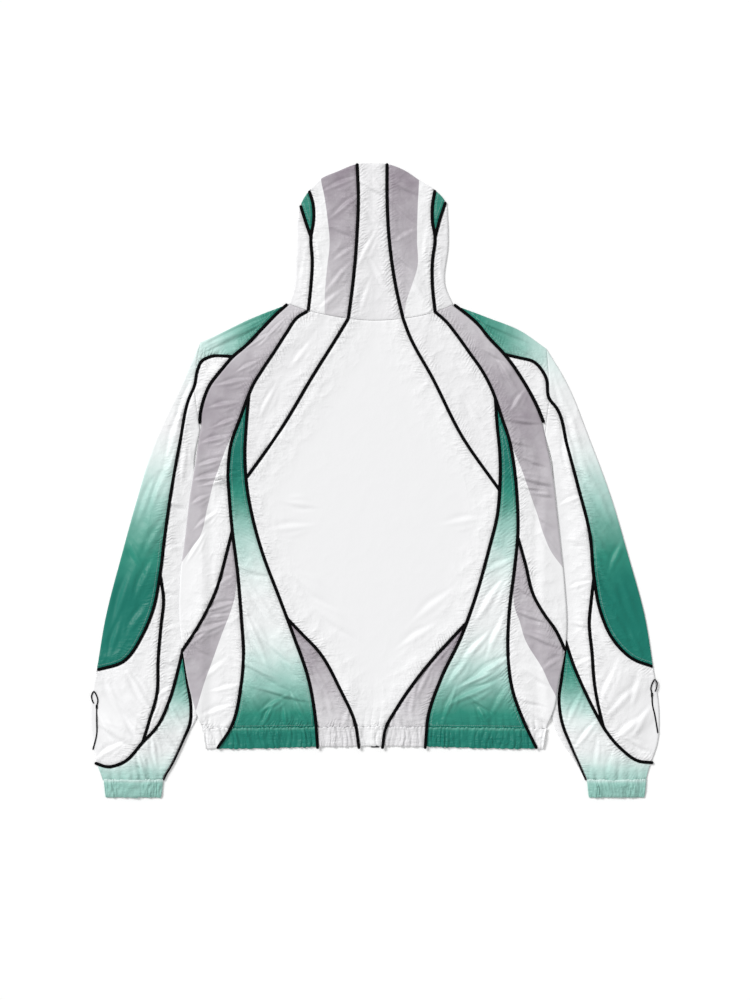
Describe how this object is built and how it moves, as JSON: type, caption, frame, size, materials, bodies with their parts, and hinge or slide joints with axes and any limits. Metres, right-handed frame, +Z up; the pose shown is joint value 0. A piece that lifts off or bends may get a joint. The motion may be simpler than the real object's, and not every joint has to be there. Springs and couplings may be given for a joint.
{
  "type": "hooded track jacket",
  "caption": "Hooded oversized track jacket in pale glossy nylon with shaped green and lavender panels, black piping and gathered hem and cuffs, lying flat with its back up.",
  "frame": {"origin": "middle of the jacket's outline, on the ground that it lies on", "axes": "+Z up from the ground, towards the back of the jacket; +Y from the hem to the hood; +X to the right as seen"},
  "size_m": [0.8526, 0.9511, 0.0091],
  "materials": {
    "white_nylon": "satin",
    "green_nylon": "satin",
    "lavender_nylon": "satin",
    "black_trim": "matte"
  },
  "bodies": {
    "root": {"back_centre": "white_nylon", "back_diagonal_piping_left": "black_trim", "back_diagonal_piping_right": "black_trim", "back_shoulder_left": "white_nylon", "back_shoulder_right": "white_nylon", "back_side_left": "lavender_nylon", "back_side_right": "lavender_nylon", "back_wedge_left": "lavender_nylon", "back_wedge_right": "lavender_nylon", "cuff_left": "green_nylon", "cuff_right": "green_nylon", "flank_inner_piping_left": "black_trim", "flank_inner_piping_right": "black_trim", "flank_left": "green_nylon", "flank_low_left": "lavender_nylon", "flank_low_right": "lavender_nylon", "flank_outer_piping_left": "black_trim", "flank_outer_piping_right": "black_trim", "flank_right": "green_nylon", "front_left": "white_nylon", "front_right": "white_nylon", "front_zip": "black_trim", "hem_back": "white_nylon", "hem_front_left": "white_nylon", "hem_front_right": "white_nylon", "hood_centre": "white_nylon", "hood_crown_piping_left": "black_trim", "hood_crown_piping_right": "black_trim", "hood_front": "white_nylon", "hood_gusset_left": "green_nylon", "hood_gusset_right": "green_nylon", "hood_outer_left": "white_nylon", "hood_outer_right": "white_nylon", "hood_side_left": "lavender_nylon", "hood_side_piping_left": "black_trim", "hood_side_piping_right": "black_trim", "hood_side_right": "lavender_nylon", "shoulder_patch_left": "white_nylon", "shoulder_patch_right": "white_nylon", "shoulder_yoke_left": "green_nylon", "shoulder_yoke_right": "green_nylon", "sleeve_forearm_left": "white_nylon", "sleeve_forearm_right": "white_nylon", "sleeve_inner_left": "white_nylon", "sleeve_inner_right": "white_nylon", "sleeve_lower_piping_left": "black_trim", "sleeve_lower_piping_right": "black_trim", "sleeve_outer_left": "green_nylon", "sleeve_outer_right": "green_nylon", "sleeve_under_left": "white_nylon", "sleeve_under_right": "white_nylon", "sleeve_upper_piping_left": "black_trim", "sleeve_upper_piping_right": "black_trim", "sleeve_wedge_left": "green_nylon", "sleeve_wedge_right": "green_nylon", "sleeve_zip_left": "black_trim", "sleeve_zip_right": "black_trim", "yoke_piping_left": "black_trim", "yoke_piping_right": "black_trim"}
  },
  "joints": []
}
